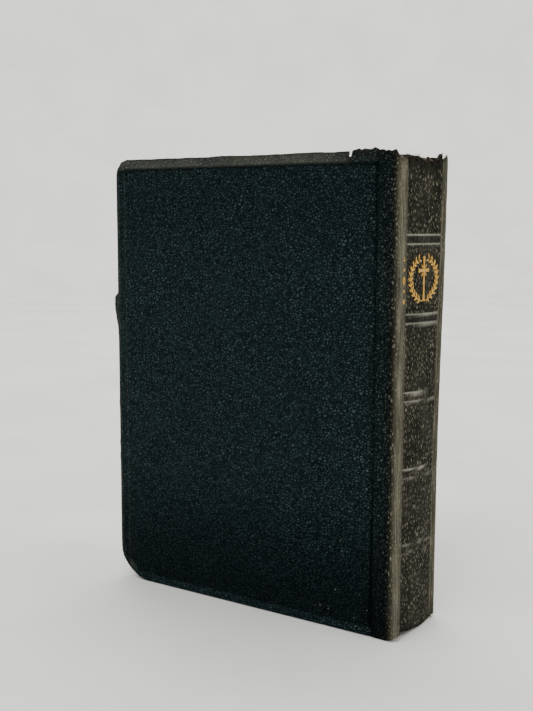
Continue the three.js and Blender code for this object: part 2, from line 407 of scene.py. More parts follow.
FLAP_STEPS = 8
FLAP_THICK = 1.25
HEAD_LEAN, FORE_LEAN = 43, 66                       # degrees that a flap leans in over the pages
HEAD_FLAP, FORE_FLAP, TAIL_FLAP = 6.05, 8.6, 8.8    # lengths of the flaps
STANDING_END = 12.2                                 # the torn part of the head flap ends here, from the hinge
NOTCH_LOW, NOTCH_HIGH = 12.9, 14.2                  # the notch torn out of the head flap, from the hinge
SPRUNG_LOW, SPRUNG_HIGH = 118.0, 141.5              # heights between which the fore-edge flap has sprung out


def flap_rows(lean, start, bend, length, thick):
    """Places across a flap, as (outward, inward) from the panel's edge, for each point along the edge.

    A flap runs straight for a start distance, leans in over a bend distance and goes on to its length.
    The rows go along its outer face, round the lip and back along the inner face."""
    fine = 5
    place = np.zeros((len(lean), 2))
    outer, angles = [place.copy()], [np.zeros(len(lean))]
    step = length / FLAP_STEPS / fine
    for k in range(FLAP_STEPS):
        for j in range(fine):
            travelled = step * (k * fine + j + 0.5)
            angle = lean * smooth((travelled - start) / bend)
            place = place + step[:, None] * np.stack([np.cos(angle), np.sin(angle)], 1)
        outer.append(place.copy())
        angles.append(lean * smooth((step * fine * (k + 1) - start) / bend))
    inward = [np.stack([-np.sin(a), np.cos(a)], 1) for a in angles]
    along = np.stack([np.cos(angles[-1]), np.sin(angles[-1])], 1)
    centre = outer[-1] + inward[-1] * thick[:, None] / 2
    rows = list(outer)
    for turn in (0.25, 0.5, 0.75):
        a = math.pi * turn
        rows.append(centre + thick[:, None] / 2 * (along * math.sin(a) - inward[-1] * math.cos(a)))
    for k in range(FLAP_STEPS, -1, -1):
        rows.append(outer[k] + inward[k] * thick[:, None])
    return rows


def cover_edges(side):
    """How the flap stands along the edge: lean, start, bend, length and thickness, from the position.

    Returns a function of the unit edge weights (head, fore, tail), the distance r from the hinge line,
    and the height z."""
    torn = side > 0

    def shape(head, fore, tail, r, z):
        wave = ripple(r + 3.1 * z, 9.0, 2 + side)
        quick = ripple(r + z, 1.1, 5 + side)
        lean_head = np.radians(HEAD_LEAN + 5 * wave)
        length_head = HEAD_FLAP + 0.12 * quick + 0.1 * wave
        thick = np.full(len(r), FLAP_THICK)
        # Beside the hinge the flap stands up, ragged and swollen, and a notch is torn out next to it.
        standing = window(r, -5.0, STANDING_END if torn else 3.0, 0.9)
        lean_head = lean_head * (1 - standing) + np.radians(-5 + 7 * quick) * standing
        standing_length = 4.15 + (0.8 * quick + 0.7 * wave) if torn else 3.2 + 0.15 * quick
        length_head = length_head * (1 - standing) + standing * standing_length
        thick = thick + (1.1 if torn else 0.2) * standing * (1 + 0.45 * quick)
        if torn:
            notch = window(r, NOTCH_LOW, NOTCH_HIGH, 0.45)
            length_head = length_head * (1 - notch) + 0.7 * notch
        lean_fore = np.radians(FORE_LEAN + 6 * ripple(z, 23.0, 3 + side))
        length_fore = FORE_FLAP + 0.16 * quick
        if torn:
            # A stretch of the flap has sprung out, with a sharp step at its upper end.
            sprung = smooth((SPRUNG_HIGH - z) / 0.8) * smooth((z - SPRUNG_LOW) / 20.0)
            small = 0.5 * bell(z, 88.0, 1.6) + 0.6 * bell(z, 68.0, 1.4) + 0.5 * bell(z, 61.0, 1.8)
            lean_fore = lean_fore * (1 - 0.93 * sprung - 0.4 * small)
            length_fore = length_fore + (-1.3 + 0.2 * quick) * sprung + 0.3 * small * quick
        start = 3.0 * tail + 4.6 * fore
        bend = 0.9 * head + 2.0 * fore + 1.7 * tail
        lean = lean_head * head + lean_fore * fore + math.pi / 2 * tail
        length = length_head * head + length_fore * fore + TAIL_FLAP * tail
        return lean, start, bend, length, thick

    return shape


def cover_relief(side, r, z):
    """Low relief of a cover's face, outwards in millimetres."""
    inner = smooth(r / 8) * smooth((FORE_X - HINGE_X - r) / 8)
    inner = inner * smooth((z - FOOT_Z) / 8) * smooth((HEAD_Z - z) / 8)
    warp = 0.22 * field(r, z, 46.0, 1 + side) + 0.07 * field(r, z, 17.0, 4 + side)
    hinge_groove = -0.42 * bell(r, 0.0, 0.75)
    head_rule = -0.16 * bell(z, HEAD_Z - 1.4, 0.35) * smooth((46 - r) / 30) * smooth((r + 0.5) / 1.0)
    return warp * inner + hinge_groove + head_rule


def cover_fields(side, r, z, d):
    """Vertex fields of a cover's leather. d is how far a point lies past the panel's edge."""
    wave = field(r, z, 12.0, 9 + side)
    at_fore = smooth((r - FORE_X + HINGE_X + 0.5) / 1.0) * (1 - smooth((z - HEAD_Z + 0.5) / 1.5))
    d = d - 4.2 * at_fore * (d > 0)
    at_edge = bell(d, 0.6, 1.0) * (d > -0.5)
    flap = smooth((d - 0.3) / 0.8)
    at_head = smooth((z - HEAD_Z + 0.5) / 1.5)
    at_tail = smooth((FOOT_Z + 1.5 - z) / 1.5)
    flap = flap * (1 - at_tail)
    at_edge = at_edge * (1 - at_tail)
    wear = 0.15 * at_edge + flap * (0.10 + at_head * (0.07 + 0.14 * wave))
    spine_tone = 0.16 * smooth((7.0 - r) / 7.0) + flap * (0.12 + 0.26 * at_head)
    scuff = np.zeros_like(r)
    specks = np.zeros_like(r)
    # Painted shade: darker towards the foot and a little towards the head, in the crease under the head flap
    # and in the hinge groove.
    shade = 0.70 * smooth((75 - z) / 70) * (d < 0.2) + 0.18 * smooth((z - 150) / 40) * (d < 0.2)
    shade = shade + 0.75 * bell(d, -0.5, 0.55) * (z > HEAD_Z - 3)
    shade = shade + 0.75 * bell(r, 0.0, 0.8) * (d < 0.5)
    torn = smooth((d - 5.0) / 0.6) * (d < 7.0) * 0.5 * at_head
    if side > 0:
        # Each scuff: its strength, then its place and spread along r and along z.
        scuffs = [(0.9, 4.0, 4.0, 76.0, 5.0), (0.8, 3.0, 3.5, 63.0, 4.0), (0.35, 36.0, 10.0, 42.0, 17.0),
                  (0.8, 5.2, 0.8, 145.5, 1.8), (0.25, 12.0, 14.0, 92.0, 26.0)]
        for strength, r_at, r_spread, z_at, z_spread in scuffs:
            scuff = scuff + strength * bell(r, r_at, r_spread) * bell(z, z_at, z_spread)
        specks = bell(r, 12.0, 10.0) * bell(z, 12.0, 8.0)
        specks = specks + 0.36 * smooth((90 - z) / 60) * smooth((60 - r) / 50)
        standing = window(r, -5.0, STANDING_END, 0.9) * (z > HEAD_Z - 1)
        wear = wear * (1 - 0.75 * standing)
        spine_tone = spine_tone * (1 - 0.6 * standing)
        torn = torn + (0.25 + 0.6 * field(r, z, 2.2, 41)) * standing * smooth((d - 1.2) / 1.5)
        torn = torn + 0.6 * window(r, STANDING_END, 14.9, 0.4) * smooth((d + 0.2) / 0.5) * (z > HEAD_Z - 1)
    pressed = 0.8 * bell(r, 0.0, 0.5) * (d < 0.5) + 0.7 * bell(z, HEAD_Z - 1.4, 0.3) * smooth((46 - r) / 30)
    fields = {"wear": wear, "spine": spine_tone, "line": np.zeros_like(r), "scuff": scuff, "torn": torn,
              "specks": specks, "shade": shade, "pressed": pressed}
    return {key: np.clip(values, 0, 1) for key, values in fields.items()}


def cover_skin(name, side):
    """A cover's leather: one closed sheet, folded over the edge of the board and turned in behind it."""
    width = FORE_X - HINGE_X
    corner = width - TAIL_CORNER
    columns = np.concatenate([
        np.arange(0, BEND + 0.4, 0.28),
        np.linspace(BEND + 0.8, corner, 92),
        corner + TAIL_CORNER * np.sin(np.radians(np.arange(9, 91, 9))),
    ])
    from_head = np.array([0, 0.35, 0.7, 1.0, 1.2, 1.4, 1.6, 1.8, 2.2, 2.8, 3.6])
    height = HEAD_Z - FOOT_Z
    middle_rows = np.linspace(4.0, height - 4.8, 138)
    rows = np.concatenate([[0, 0.7, 1.5, 2.6], middle_rows, (height - from_head)[::-1]])
    share = rows / height

    past_tail = np.clip(columns - corner, 0, TAIL_CORNER)
    past_head = np.clip(columns - (width - HEAD_CORNER), 0, HEAD_CORNER)
    low = FOOT_Z + TAIL_CORNER - np.sqrt(TAIL_CORNER ** 2 - past_tail ** 2)
    high = HEAD_Z - HEAD_CORNER + np.sqrt(HEAD_CORNER ** 2 - past_head ** 2)
    r = np.repeat(columns[:, None], len(rows), 1)
    z = low[:, None] + (high - low)[:, None] * share[None, :]
    n_columns, n_rows = r.shape

    # The panel's edge, from the hinge along the head, down the fore edge and back along the tail.
    top = [(i, n_rows - 1) for i in range(n_columns)]
    fore = [(n_columns - 1, j) for j in range(n_rows - 2, 0, -1)]
    tail = [(i, 0) for i in range(n_columns - 1, -1, -1)]
    edge = np.array(top + fore + tail)
    edge_r, edge_z = r[edge[:, 0], edge[:, 1]], z[edge[:, 0], edge[:, 1]]
    angle = np.concatenate([
        np.pi / 2 - np.arcsin(past_head / HEAD_CORNER),
        np.zeros(len(fore)),
        -np.pi / 2 + np.arcsin(past_tail / TAIL_CORNER)[::-1],
    ])
    out_r, out_z = np.cos(angle), np.sin(angle)
    squarer = np.where(angle > 0, np.maximum(np.abs(out_r), np.abs(out_z)) ** -1.0, 1.0)
    head_part = smooth(angle / (np.pi / 2))
    tail_part = smooth(-angle / (np.pi / 2))
    fore_part = 1 - head_part - tail_part
    lean, start, bend, length, thick = cover_edges(side)(head_part, fore_part, tail_part, edge_r, edge_z)
    profile = flap_rows(lean, start, bend, length, thick)
    # The tail flap has to end its drop on the surface that the book stands on.
    drop = profile[FLAP_STEPS][:, 0]
    start = start + tail_part * (SQUARE - drop)
    profile = flap_rows(lean, start, bend, length, thick)
    # The turn-in lies behind the board and comes back to the panel's edge.
    turn_in = np.array([(-1.6, 2.18), (-4.0, 2.2), (-8.0, 2.2), (-11.2, 2.18), (-11.4, 2.02), (-11.2, 1.9),
                        (-6.0, 1.9), (-1.6, 1.9), (-1.1, 1.75), (-1.0, 1.3)])
    profile += [np.repeat(place[None, :], len(edge), 0) for place in turn_in]

    outer_u = COVER_U + cover_relief(side, r, z)
    points = [np.stack([HINGE_X + r, side * outer_u, z], -1).reshape(-1, 3)]
    sheet = [np.stack([r, z], -1).reshape(-1, 2)]
    depth = [np.maximum.reduce([z - HEAD_Z, r - width, FOOT_Z - z]).reshape(-1)]
    outer_index = np.arange(r.size).reshape(r.shape)
    count = r.size

    edge_relief = cover_relief(side, edge_r, edge_z)
    strip_index = [outer_index[edge[:, 0], edge[:, 1]]]
    travelled = np.zeros(len(edge))
    before = profile[0]
    for k, places in enumerate(profile[1:], 1):
        travelled = travelled + np.hypot(*(places - before).T)
        before = places
        s, e = places[:, 0], places[:, 1]
        push = np.where(s > 0, s * squarer, s)
        pr = edge_r + out_r * push
        pz = edge_z + out_z * push
        pr = np.where(s < 0, np.minimum(pr, width + s), pr)
        pz = np.where(s < 0, np.clip(pz, FOOT_Z - s, HEAD_Z + s), np.maximum(pz, 0.0))
        fade = max(0.0, 1 - k / 6)
        pu = COVER_U - e + edge_relief * fade
        points.append(np.stack([HINGE_X + pr, side * pu, pz], -1))
        sheet.append(np.stack([edge_r + out_r * travelled, edge_z + out_z * travelled], -1))
        depth.append(travelled)
        strip_index.append(np.arange(count, count + len(edge)))
        count += len(edge)

    # The hidden under face of the outer layer, drawn in a little from the edge.
    inset = 1.0
    under_r = r * (width - inset) / width
    under_z = BOOK_MIDDLE_Z + (z - BOOK_MIDDLE_Z) * (height - 2 * inset) / height
    under_u = outer_u - 0.8
    points.append(np.stack([HINGE_X + under_r, side * under_u, under_z], -1).reshape(-1, 3))
    sheet.append(np.stack([r, z], -1).reshape(-1, 2))
    depth.append(np.full(r.size, 20.0))
    under_index = np.arange(count, count + r.size).reshape(r.shape)
    strip_index.append(under_index[edge[:, 0], edge[:, 1]])

    faces = grid_faces(outer_index) + grid_faces(under_index[::-1]) + grid_faces(np.array(strip_index))
    faces += grid_faces(np.stack([outer_index[0], under_index[0]]))
    strip = np.array(strip_index)
    faces.append(strip[:, 0].tolist())
    faces.append(strip[::-1, -1].tolist())

    points = np.concatenate(points)
    sheet = np.concatenate(sheet)
    depth = np.concatenate(depth)
    fields = cover_fields(side, sheet[:, 0], points[:, 2], depth)
    flat = np.stack([side * (sheet[:, 0] + SHEET_HINGE), sheet[:, 1]], -1)
    piece = make_piece(name, points, faces, LEATHER, flat, fields)
    sharpen(piece, 50)
    return piece


# ---------------------------------------------------------------- spine leather

PANEL_HALF = 15.0          # half of the width of the panel between the ridges
RIDGE_CENTRE = (2.6, 16.9) # centre of the ridge's round back: distance from SPINE_X, and u
RIDGE_RADIUS = 2.8
RULE_SLOPE = 0.028         # drop of a tooled rule for each millimetre that it lies below LEVEL_Z
LEVEL_Z = 178.0


def spine_path():
    """Half of the spine in plan, from its middle to the hinge line: distance from SPINE_X, u, and length."""
    u_panel = np.linspace(0, PANEL_HALF, 120)
    panel = np.stack([-0.3 + (u_panel / PANEL_HALF) ** 2, u_panel], 1)
    angle = np.radians(np.linspace(212.0, 90.0, 60))
    ridge = np.stack([RIDGE_CENTRE[0] + RIDGE_RADIUS * np.cos(angle),
                      RIDGE_CENTRE[1] + RIDGE_RADIUS * np.sin(angle)], 1)
    side_x = np.linspace(3.0, HINGE_X - SPINE_X, 60)
    dip = 0.18 * bell(side_x, 9.0, 2.2)
    flank = np.stack([side_x, COVER_U - dip], 1)
    line = np.concatenate([panel, ridge, flank])
    length = np.concatenate([[0], np.cumsum(np.hypot(*np.diff(line, axis=0).T))])
    return line, length


PATH, PATH_LENGTH = spine_path()
SHEET_HINGE = PATH_LENGTH[-1]
CREASE = 15.3         # along the path, where the ridge meets the spine's panel
RIDGE_END = 21.3      # along the path, where the ridge has turned onto the cover's side


def on_spine(along, depth=0.0, z=100.0):
    """Points on the spine's leather at signed lengths from its middle, sunk by a depth: x and y.

    The front edge has spread at the head, where the spine has been pulled."""
    q = np.abs(along)
    x = np.interp(q, PATH_LENGTH, PATH[:, 0])
    u = np.interp(q, PATH_LENGTH, PATH[:, 1])
    small = 0.15
    dx = np.interp(q + small, PATH_LENGTH, PATH[:, 0]) - np.interp(q - small, PATH_LENGTH, PATH[:, 0])
    du = np.interp(q + small, PATH_LENGTH, PATH[:, 1]) - np.interp(q - small, PATH_LENGTH, PATH[:, 1])
    du = np.where(q < small, 1.0, du)
    dx = np.where(q < small, 0.0, dx)
    length = np.hypot(dx, du)
    inward_x, inward_u = du / length, -dx / length
    sign = np.where(along < 0, -1.0, 1.0)
    spread = smooth((z - 60.0) / 150.0) * window(along, -SHEET_HINGE + 1, -13.0, 8.0)
    spread = spread * smooth((SHEET_HINGE - q) / 5.0) * (along < 0)
    wider = np.minimum(1.1 * spread, 0.06 * (SHEET_HINGE - q))
    return SPINE_X + x + inward_x * depth - 1.5 * spread, sign * (u + inward_u * depth + wider)


def spine_ends(along):
    """Lowest and highest edge of the spine's leather at signed lengths from its middle."""
    q = np.abs(along)
    back = along > 0
    quick = ripple(along, 1.3, 3)
    wave = ripple(along, 3.6, 8)
    top = 202.3 + 2.6 * quick + 1.9 * wave - 3.2 * bell(along, 13.9, 0.9) - 1.2 * bell(along, -19.5, 2.0)
    top = top - 0.9 * bell(along, 17.5, 1.6) + 0.7 * bell(along, 15.9, 0.5)
    flank_top = np.where(back, 204.9 + 0.8 * quick + 0.6 * wave, 203.4 + 0.3 * quick)
    on_flank = smooth((q - 22.4) / 0.5)
    top = top * (1 - on_flank) + flank_top * on_flank
    low = 0.5 + 1.0 * smooth((along + 6.0) / 12.0) + 0.10 * quick
    low = low + 1.6 * smooth((along - 5.0) / 9.0) + 0.6 * quick * window(along, 4.0, 15.5, 1.0)
    rounding = 2.4 * (1 - smooth((q - 15.8) / 8.5))
    low = np.where(q > CREASE + 0.4, 0.12 + rounding * np.where(back, 1.0, 0.55), low)
    return low, top


def tooled_sag(z, along):
    """How far a tooled rule has dropped at a signed length from the middle of the spine."""
    return RULE_SLOPE * (LEVEL_Z - z) * np.clip((16.0 - along) / 33.0, 0.0, 1.0)


def spine_skin():
    """The leather over the spine and both joints: one closed sheet, in finer steps at the middle of the
    spine.
    """
    half = np.concatenate([
        np.arange(0.1, SPINE_BEND + 0.15, 0.2),
        np.arange(1.9, 14.6, 0.6),
        np.arange(15.0, 16.6, 0.22),
        np.arange(16.9, RIDGE_END + 1, 0.42),
        np.linspace(RIDGE_END + 1.6, SHEET_HINGE, 14),
    ])
    along = np.concatenate([-half[::-1], half])
    fixed = []
    for centre in TOOLED_Z:
        for line in (centre - TOOLED_HALF, centre + TOOLED_HALF):
            fixed.extend(line + np.array([-0.75, -0.5, -0.3, -0.12, 0.12, 0.3, 0.5, 0.75]))
    plain = np.arange(9.0, 196.5, 1.5)
    gap = np.abs(plain[:, None] - np.array(fixed)[None, :]).min(1)
    level = np.sort(np.concatenate([fixed, plain[gap > 0.6]]))
    ends_low, ends_high = np.linspace(0, 1, 9)[:-1], np.linspace(0, 1, 11)[1:]
    low, high = spine_ends(along)
    z = np.concatenate([
        low[:, None] + (level[0] - low)[:, None] * ends_low[None, :],
        np.repeat(level[None, :], len(along), 0),
        level[-1] + (high - level[-1])[:, None] * ends_high[None, :],
    ], axis=1)
    a = np.repeat(along[:, None], z.shape[1], 1)
    q = np.abs(a)

    # Relief: depth is positive where the leather is pressed in.
    crease_depth = 0.30 + 0.45 * smooth((z - 185) / 14) + 0.35 * smooth((80 - z) / 30)
    crease_depth = crease_depth * np.where(a > 0, 1.0, 0.1)
    depth = crease_depth * bell(q, CREASE, 0.42)
    depth = depth + 0.40 * bell(SHEET_HINGE - q, 0.0, 0.75)
    line = np.zeros_like(a)
    band = np.zeros_like(a)
    reach = smooth((24.0 - q) / 2.5)
    ink = np.zeros_like(a)
    strong = [(0.22, 0.42), (0.35, 0.9), (0.6, 0.85), (0.75, 0.9), (0.75, 1.0)]
    for number, centre in enumerate(TOOLED_Z):
        # The rules run downhill towards the front cover, more so near the foot.
        sag = tooled_sag(centre, a) + 2.0 * smooth((a - 15.8) / 2.5) * (number < 2) * (1 - 0.4 * number)
        for offset, clear in zip((-TOOLED_HALF, TOOLED_HALF), strong[number]):
            mark = bell(z, centre + offset - sag, 0.34)
            line = np.maximum(line, mark)
            ink = np.maximum(ink, mark * clear)
        band = np.maximum(band, window(z + sag, centre - TOOLED_HALF, centre + TOOLED_HALF, 0.35))
    on_ridge = window(q, CREASE + 0.3, RIDGE_END - 0.6, 0.5)
    strength = reach * (1 - 0.72 * on_ridge)
    depth = depth + 0.20 * line * strength + 0.13 * band * strength
    lump = field(a, z, 7.0, 21)
    wrinkle = field(q * 0.35, z, 1.9, 23) * window(q, RIDGE_END + 0.5, SHEET_HINGE - 1.5, 1.5)
    depth = depth - 0.10 * lump * smooth(q / 3) - 0.10 * wrinkle
    depth = depth + (0.35 + 0.5 * field(a, z, 2.0, 61)) * smooth((z - 199.0) / 2.5) * (q < 15) * smooth(q / 2)
    lump_at = smooth((q - 22.2) / 0.8) * smooth((SHEET_HINGE - q) / 1.2) * (a > 0)
    depth = depth - (0.75 + 0.4 * field(a, z, 2.5, 63)) * lump_at * bell(z, 204.0, 1.6)

    thick = 0.9 + 0.7 * smooth((z - 201.5) / 2.0) * (q > 22.5) + 0.25 * smooth((z - 200) / 2) * (q < 16)
    x_outer, y_outer = on_spine(a, depth, z)
    x_inner, y_inner = on_spine(a, depth + thick, z)
    outer = np.stack([x_outer, y_outer, z], -1)
    inner = np.stack([x_inner, y_inner, z], -1)
    # The upper and lower ends are rounded over.
    mid_top = (outer[:, -1] + inner[:, -1]) / 2 + [0, 0, 0.22]
    mid_low = (outer[:, 0] + inner[:, 0]) / 2 - [0, 0, 0.12]

    n = a.size
    outer_index = np.arange(n).reshape(a.shape)
    inner_index = outer_index + n
    top_index = 2 * n + np.arange(len(along))
    low_index = top_index + len(along)
    points = np.concatenate([outer.reshape(-1, 3), inner.reshape(-1, 3), mid_top, mid_low])
    faces = grid_faces(outer_index) + grid_faces(inner_index[::-1])
    faces += grid_faces(np.stack([outer_index[:, -1], top_index, inner_index[:, -1]]))
    faces += grid_faces(np.stack([inner_index[:, 0], low_index, outer_index[:, 0]]))
    for end in (0, -1):
        ring = [*outer_index[end], top_index[end], *inner_index[end][::-1], low_index[end]]
        faces.append([int(i) for i in ring])
    sheet_outer = np.stack([a, z], -1).reshape(-1, 2)
    sheet_ends = [np.stack([along, z[:, -1] + 0.5], -1), np.stack([along, z[:, 0] - 0.5], -1)]
    sheet = np.concatenate([sheet_outer, sheet_outer + [60, 0], *sheet_ends])

    def over_all(values, edge=None):
        ends = values[:, -1] if edge is None else edge * np.ones(len(along))
        low_end = values[:, 0] if edge is None else edge * np.ones(len(along))
        return np.clip(np.concatenate([values.ravel(), values.ravel(), ends, low_end]), 0, 1)

    patchy = field(a, z, 9.0, 31)
    wear = 0.48 * smooth((q - CREASE - 0.15) / 0.9) * smooth((RIDGE_END + 3.0 - q) / 4.6)
    # The bell on the back ridge's round back paints both rubbed wear and the ridge's highlight.
    wear = wear + 0.50 * bell(q, 19.4 + 0.4 * patchy, 1.7)
    far_wear = smooth((q - CREASE + 2.2) / 2.4) * smooth((RIDGE_END + 3.0 - q) / 4.6)
    wear = (0.84 + 0.16 * patchy) * np.where(a > 0, wear, 0.66 * far_wear)
    wear = wear + 0.22 * smooth((q - 13.2) / 2) * (q < CREASE) + 0.10 * (1 + patchy) * (q < CREASE)
    spine_tone = 0.16 + 0.3 * smooth((SHEET_HINGE - q) / 7.0) + smooth((RIDGE_END + 3.6 - q) / 4.0)
    on_panel = (q < CREASE - 0.4)
    shine = ink * reach * np.where(on_panel, 1.0 - 0.2 * (patchy < -0.2), 0.42)
    shine = shine * smooth((CREASE - 0.9 - q) / 0.5 + (q > CREASE - 0.4))
    # Painted shade along the crease where the back ridge meets the panel; the tooled bands are darker between
    # their rules, more so higher up.
    near_crease = np.where(a > 0, 0.85, 0.0) * bell(q, CREASE, 0.33)
    dark_band = 0.25 + 0.6 * smooth((z - 85.0) / 60.0)
    shade = near_crease + dark_band * band * on_panel * (1 - line)
    # Painted shade in the hinge groove, and darker along the top of the panel.
    shade = shade + 0.55 * bell(SHEET_HINGE - q, 0, 0.9) + 0.5 * smooth((z - 199.0) / 2.5) * (q < 16)
    # Painted shade over the joint, towards the foot and the head, as on the cover.
    on_joint = smooth((q - RIDGE_END - 1) / 3)
    shade = shade + (0.70 * smooth((75 - z) / 70) + 0.18 * smooth((z - 150) / 40)) * on_joint
    # Painted shade in the notch torn out of the top beside the crease.
    shade = shade + 0.9 * bell(a, 13.9, 1.5) * smooth((z - 194.0) / 7.0)
    # Darker along the foot of the panel, in a band with an uneven edge along its top, and at the top of the
    # front ridge.
    shade = shade + 0.9 * window(a, 3.0, 15.5, 2.0) * smooth((7.5 - z) / 4.0)
    uneven = 1.6 * field(a, 0 * z, 3.0, 71)
    shade = shade + 0.95 * smooth((z - high[:, None] + 5.5 + uneven) / 2.5) * (q < 16)
    shade = shade + 0.8 * smooth((z - 188.0 + uneven) / 8.0) * smooth((-a - 13.5) / 2.0)
    frayed = 0.5 + 0.5 * field(a, z, 1.4, 51)
    torn = smooth((z - high[:, None] + 1.6) / 1.5) * frayed
    torn = torn + 0.5 * smooth((z - 201.6) / 1.2) * (q > 22.4) * (a > 0) * (0.5 + 1.2 * field(a, z, 2.2, 41))
    torn = torn + smooth((low[:, None] + 1.0 - z) / 0.9) * 0.8 * (q < 16.5)
    torn = torn + 0.9 * bell(a, -15.5, 2.2) * smooth((12 - z) / 6) * 0.6
    specks = 0.45 * smooth((60 - z) / 40) * smooth((q - RIDGE_END) / 2)
    fields = {
        "wear": over_all(wear), "spine": over_all(spine_tone), "line": over_all(shine, 0.0),
        "scuff": over_all(np.zeros_like(a)), "torn": over_all(torn, 0.6), "specks": over_all(specks, 0.0),
        "shade": over_all(shade, 0.5), "pressed": over_all(np.maximum(band, line) * strength * 0.85),
    }
    piece = make_piece("spine_leather_skin", points, faces, LEATHER, sheet, fields)
    sharpen(piece, 60)
    return piece


# ---------------------------------------------------------------- gold ornament

def ribbon(builder, points, widths, lift=0.07, sink=0.12):
    """A thin raised strip along points (along the spine, height), as wide as widths say, over the leather."""
    points = np.asarray(points, float)
    widths = np.broadcast_to(widths, (len(points),)).astype(float)
    tangent = np.gradient(points, axis=0)
    tangent /= np.maximum(np.hypot(*tangent.T), 1e-9)[:, None]
    normal = np.stack([-tangent[:, 1], tangent[:, 0]], 1)
    left = points + normal * widths[:, None] / 2
    right = points - normal * widths[:, None] / 2
    rings = []
    for place, depth in ((left, -lift), (right, -lift), (right, sink), (left, sink)):
        x, y = on_spine(place[:, 0], depth, place[:, 1])
        rings.append(np.stack([x, y, place[:, 1]], 1))
    rings = np.stack(rings, 1)
    flat = np.repeat(points[:, None, :], 4, 1).reshape(-1, 2)
    worn = smooth((np.abs(flat[:, 0]) - 11.5) / 4.5)
    builder.add(rings.reshape(-1, 3).tolist(), tube_faces(len(points), 4), flat.tolist(), wear=worn)


def line_points(start, end, steps=14):
    t = np.linspace(0, 1, steps)[:, None]
    return np.array(start) * (1 - t) + np.array(end) * t


def flared(steps, wide):
    """Widths of a bar of the cross, which widens at its ends."""
    return wide * (1 + 0.55 * np.abs(np.linspace(-1, 1, steps)) ** 6)


def gold_ornament():
    """A plain cross in a wreath of leaves, in the second panel of the spine."""
    wreath_half, wreath_height, bar_rise = 11.3, 9.2, 3.6
    builder = Builder()
    middle = (TOOLED_Z[4] + TOOLED_Z[3]) / 2 - 0.3
    bar_z = middle + bar_rise
    ribbon(builder, line_points((0, middle - 9.2), (0, middle + 9.4), 30), flared(30, 1.35))
    ribbon(builder, line_points((-4.9, bar_z), (4.9, bar_z), 22), flared(22, 1.3))
    for step in range(4):
        angle = math.pi / 4 + step * math.pi / 2
        a = np.array([math.cos(angle), math.sin(angle)])
        start = np.array([0, bar_z]) + a * 1.7
        ribbon(builder, line_points(start, start + a * 1.9, 6), np.linspace(0.95, 0.25, 6))
    for side in (-1, 1):
        angles = np.radians(np.linspace(-84, 58, 40))
        stem = np.stack([side * wreath_half * np.cos(angles), middle + wreath_height * np.sin(angles)], 1)
        ribbon(builder, stem, 0.42 + 0.2 * np.sin(np.linspace(0.1, math.pi - 0.1, 40)))
        for step, angle in enumerate(np.radians(np.arange(-72, 66, 13.5))):
            root = np.array([side * wreath_half * math.cos(angle), middle + wreath_height * math.sin(angle)])
            heading = np.array([-side * math.sin(angle), math.cos(angle)])
            outward = np.array([side * math.cos(angle), math.sin(angle)])
            for turn in (-0.75, 0.75):
                leaf = heading * 0.8 + outward * turn
                leaf = leaf / np.hypot(*leaf)
                length = 2.7 if turn < 0 else 2.4
                ribbon(builder, line_points(root + leaf * 0.25, root + leaf * length, 10),
                       0.1 + 0.85 * np.sin(np.linspace(0.05, math.pi - 0.12, 10)))
        for height, size in ((-8.6, 1.0), (-4.3, 0.7), (0.0, 1.6), (4.3, 0.7), (8.6, 1.0)):
            centre = np.array([side * 18.2, middle + height])
            ribbon(builder, line_points(centre - [0, size], centre + [0, size], 9),
                   0.12 + size * 0.85 * np.sin(np.linspace(0.02, math.pi - 0.02, 9)))
    return builder.piece("gold_ornament", GOLD, "gold_foil")


# ---------------------------------------------------------------- frayed fibres

def fibre(builder, root, direction, length, radius, rng):
    """A thin, tapering, curved strand."""
    sides, steps = 4, 5
    axis = Vector(direction).normalized()
    bend = Vector(rng.normal(0, 1, 3)).cross(axis).normalized() * length * rng.uniform(0.1, 0.5)
    across = axis.orthogonal().normalized()
    other = axis.cross(across)
    points = []
    for k in range(steps):
        t = k / (steps - 1)
        centre = Vector(root) + axis * length * t + bend * t * t
        size = radius * (1 - 0.8 * t)
        for s in range(sides):
            a = 2 * math.pi * s / sides
            points.append(tuple(centre + (across * math.cos(a) + other * math.sin(a)) * size))
    builder.add(points, tube_faces(steps, sides), [(0.0, 0.0)] * len(points))


def frayed_edges():
    """Loose leather fibres along the worn ends of the spine."""
    rng = np.random.default_rng(14)
    builder = Builder()
    for _ in range(330):
        along = rng.uniform(-18.5, 18.8)
        low, high = spine_ends(np.array([along]))
        x, y = on_spine(np.array([along]), rng.uniform(0.1, 0.9), high)
        outward = -1 if abs(along) < 17 else 0
        sideways = np.clip(rng.normal(0, 0.5), -1, 1) * (0.15 if abs(along) > 15.5 else 1.0)
        direction = (outward * rng.uniform(-0.2, 0.6), sideways, rng.uniform(0.25, 1.0))
        fibre(builder, (x[0], y[0], high[0] - 0.25), direction, rng.uniform(0.5, 1.7),
              rng.uniform(0.05, 0.13), rng)
    for _ in range(90):
        along = rng.uniform(8.5, 15.6)
        low, high = spine_ends(np.array([along]))
        x, y = on_spine(np.array([along]), rng.uniform(0.1, 0.9))
        direction = (rng.uniform(-0.5, 0.2), rng.normal(0, 0.8), rng.uniform(-1.0, -0.1))
        fibre(builder, (x[0], y[0], low[0] + 0.2), direction, rng.uniform(0.3, 1.0),
              rng.uniform(0.05, 0.12), rng)
    return builder.piece("frayed_spine_fibres", FIBRE, "cover_leather")


# ---------------------------------------------------------------- sheets of paper

PAGE_CORNER = 8.0
NO_FORE_EDGE = 900.0  # so far off that a strip along the spine has no rounded or aged fore edge


def leaf_span(x, fore_x, low, high, radius):
    """Lowest and highest point of a leaf with rounded fore-edge corners, at each x."""
    past = np.clip(x - (fore_x - radius), 0, radius)
    cut = radius - np.sqrt(np.maximum(radius ** 2 - past ** 2, 0))
    return low + cut, high - cut


def corner_stations(fore_x, radius=PAGE_CORNER):
    return fore_x - radius + radius * np.sin(np.radians([0, 15, 30, 45, 60, 75, 86]))


